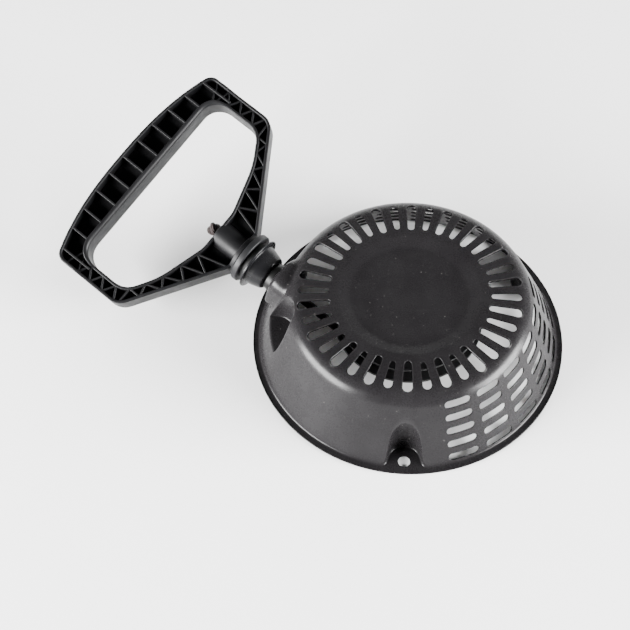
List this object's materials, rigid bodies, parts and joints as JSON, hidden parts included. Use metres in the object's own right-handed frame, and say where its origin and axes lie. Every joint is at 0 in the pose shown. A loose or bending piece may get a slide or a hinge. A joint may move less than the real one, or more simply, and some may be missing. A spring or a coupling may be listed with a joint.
{
  "type": "recoil starter",
  "caption": "Pull starter for a small engine: slotted round steel cover with rope reel, return spring and drive pawls, and a ribbed D-shaped handle on its rope.",
  "frame": {"origin": "on the reel's axis in the mounting face, at the centre of the mounting-hole circle", "axes": "+Z along the reel's axis away from the engine, towards the slotted top; -Y towards one of the three mounting holes; the rope leaves towards -X and +Y"},
  "size_m": [0.3113, 0.2359, 0.0838],
  "materials": {
    "black_paint": "gloss black enamel on pressed steel",
    "grip_plastic": "matte moulded black plastic",
    "cup_plastic": "gloss black",
    "collar_plastic": "matte black",
    "rubber": "dull black rubber",
    "guide_plastic": "black moulded eyelet",
    "reel_plastic": "dark moulded plastic",
    "rope": "braided black cord",
    "spring_steel": "oiled spring steel",
    "plated_steel": "zinc plated",
    "pawl_steel": "sintered steel"
  },
  "bodies": {
    "case": {"housing": "black_paint", "rope_guide": "guide_plastic", "reel_post": "plated_steel", "centre_bolt": "plated_steel", "reel_washer": "plated_steel", "recoil_spring": "spring_steel", "friction_spring": "spring_steel"},
    "reel_body": {"reel": "reel_plastic", "rope_winding": "rope", "reel_knot": "rope", "pawl_spring_1": "spring_steel", "pawl_spring_2": "spring_steel"},
    "pawl_a": {"pawl_1": "pawl_steel"},
    "pawl_b": {"pawl_2": "pawl_steel"},
    "guide": {"ratchet_guide": "plated_steel"},
    "rope_end": {"rope_lead": "rope", "handle_knot": "rope", "cup": "cup_plastic", "damper": "rubber", "collar": "collar_plastic"},
    "grip": {"handle": "grip_plastic"}
  },
  "joints": [
    {"name": "handle_pull", "type": "slide", "parent": "case", "child": "rope_end", "axis": [-0.8013, 0.561, 0.2079], "range_m": [0, 0.8], "stiffness_N_per_m": 22, "springref_m": -0.7},
    {"name": "handle_swivel", "type": "hinge", "parent": "rope_end", "child": "grip", "pos_m": [-0.0798, 0.0196, 0.0275], "axis": [-0.8013, 0.561, 0.2079], "range_deg": [-180, 180]},
    {"name": "reel_spin", "type": "hinge", "parent": "case", "child": "reel_body", "pos_m": [0, 0, 0.025], "axis": [0, 0, 1], "range_deg": [-1350, 0], "deforming": ["recoil_spring"]},
    {"name": "guide_turn", "type": "hinge", "parent": "reel_body", "child": "guide", "pos_m": [0, 0, 0.0082], "axis": [0, 0, 1], "range_deg": [0, 25], "stiffness_Nm_per_rad": 0.02, "springref_deg": -11.46},
    {"name": "pawl_a_swing", "type": "hinge", "parent": "reel_body", "child": "pawl_a", "pos_m": [0.00975, 0.01689, 0.0115], "axis": [0, 0, 1], "range_deg": [0, 25], "deforming": ["pawl_spring_1"]},
    {"name": "pawl_b_swing", "type": "hinge", "parent": "reel_body", "child": "pawl_b", "pos_m": [-0.00975, -0.01689, 0.0115], "axis": [0, 0, 1], "range_deg": [0, 25], "deforming": ["pawl_spring_2"]}
  ],
  "couplings": [
    {"joint": "reel_spin", "follows": "handle_pull", "rad_per_m": -29.326},
    {"joint": "pawl_a_swing", "follows": "guide_turn", "ratio": 1},
    {"joint": "pawl_b_swing", "follows": "guide_turn", "ratio": 1}
  ]
}
